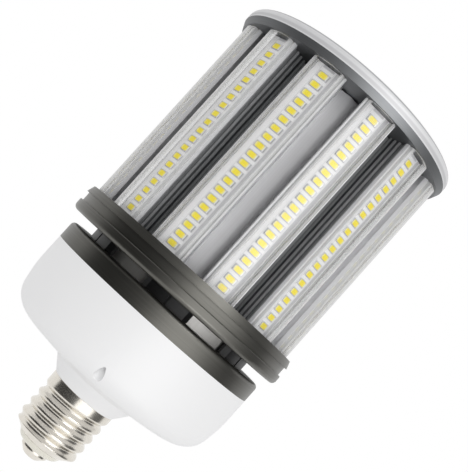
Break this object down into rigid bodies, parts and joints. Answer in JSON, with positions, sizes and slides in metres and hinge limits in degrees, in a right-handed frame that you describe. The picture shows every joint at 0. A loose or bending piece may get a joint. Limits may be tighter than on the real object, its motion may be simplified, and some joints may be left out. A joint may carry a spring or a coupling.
{
  "type": "corn led bulb",
  "caption": "Cylindrical corn lamp: covered rows of light chips on ribbed heat sink bars between dark end rings, above a white driver housing with a mogul screw base.",
  "frame": {"origin": "centre of the flat tip of the base's centre contact", "axes": "+Z along the lamp's axis from the screw base to the end cap, -Y towards the front of the picture, between two light bars"},
  "size_m": [0.1406, 0.1406, 0.2524],
  "materials": {
    "nickel": "bright nickel plate",
    "insulator": "smooth ivory",
    "housing": "smooth white moulding",
    "gunmetal": "satin gunmetal coat",
    "post": "black moulding",
    "aluminium": "satin extrusion",
    "cover_plate": "bright anodised",
    "board": "white solder mask",
    "chip": "yellow phosphor in a white frame",
    "cover": "clear plastic",
    "screw": "plated",
    "circuit": "green solder mask",
    "winding": "taped winding",
    "capacitor": "black sleeve",
    "lead": "red insulation"
  },
  "bodies": {
    "root": {"air_sleeve": "aluminium", "base_insulator": "insulator", "cap_screws": "screw", "centre_contact": "nickel", "driver_board": "circuit", "driver_capacitors": "capacitor", "driver_housing": "housing", "driver_transformer": "winding", "flange_screws": "screw", "heat_sink_1": "aluminium", "heat_sink_2": "aluminium", "heat_sink_3": "aluminium", "heat_sink_4": "aluminium", "heat_sink_5": "aluminium", "heat_sink_6": "aluminium", "housing_ring": "gunmetal", "housing_screws": "screw", "led_board_1": "board", "led_board_10": "board", "led_board_11": "board", "led_board_12": "board", "led_board_2": "board", "led_board_3": "board", "led_board_4": "board", "led_board_5": "board", "led_board_6": "board", "led_board_7": "board", "led_board_8": "board", "led_board_9": "board", "led_chips_1": "chip", "led_chips_10": "chip", "led_chips_11": "chip", "led_chips_12": "chip", "led_chips_2": "chip", "led_chips_3": "chip", "led_chips_4": "chip", "led_chips_5": "chip", "led_chips_6": "chip", "led_chips_7": "chip", "led_chips_8": "chip", "led_chips_9": "chip", "led_cover_1": "cover", "led_cover_10": "cover", "led_cover_11": "cover", "led_cover_12": "cover", "led_cover_2": "cover", "led_cover_3": "cover", "led_cover_4": "cover", "led_cover_5": "cover", "led_cover_6": "cover", "led_cover_7": "cover", "led_cover_8": "cover", "led_cover_9": "cover", "led_leads": "lead", "lower_flange": "gunmetal", "post_screws": "screw", "screw_shell": "nickel", "top_cap": "gunmetal", "top_cover": "cover_plate", "vent_posts": "post"}
  },
  "joints": []
}
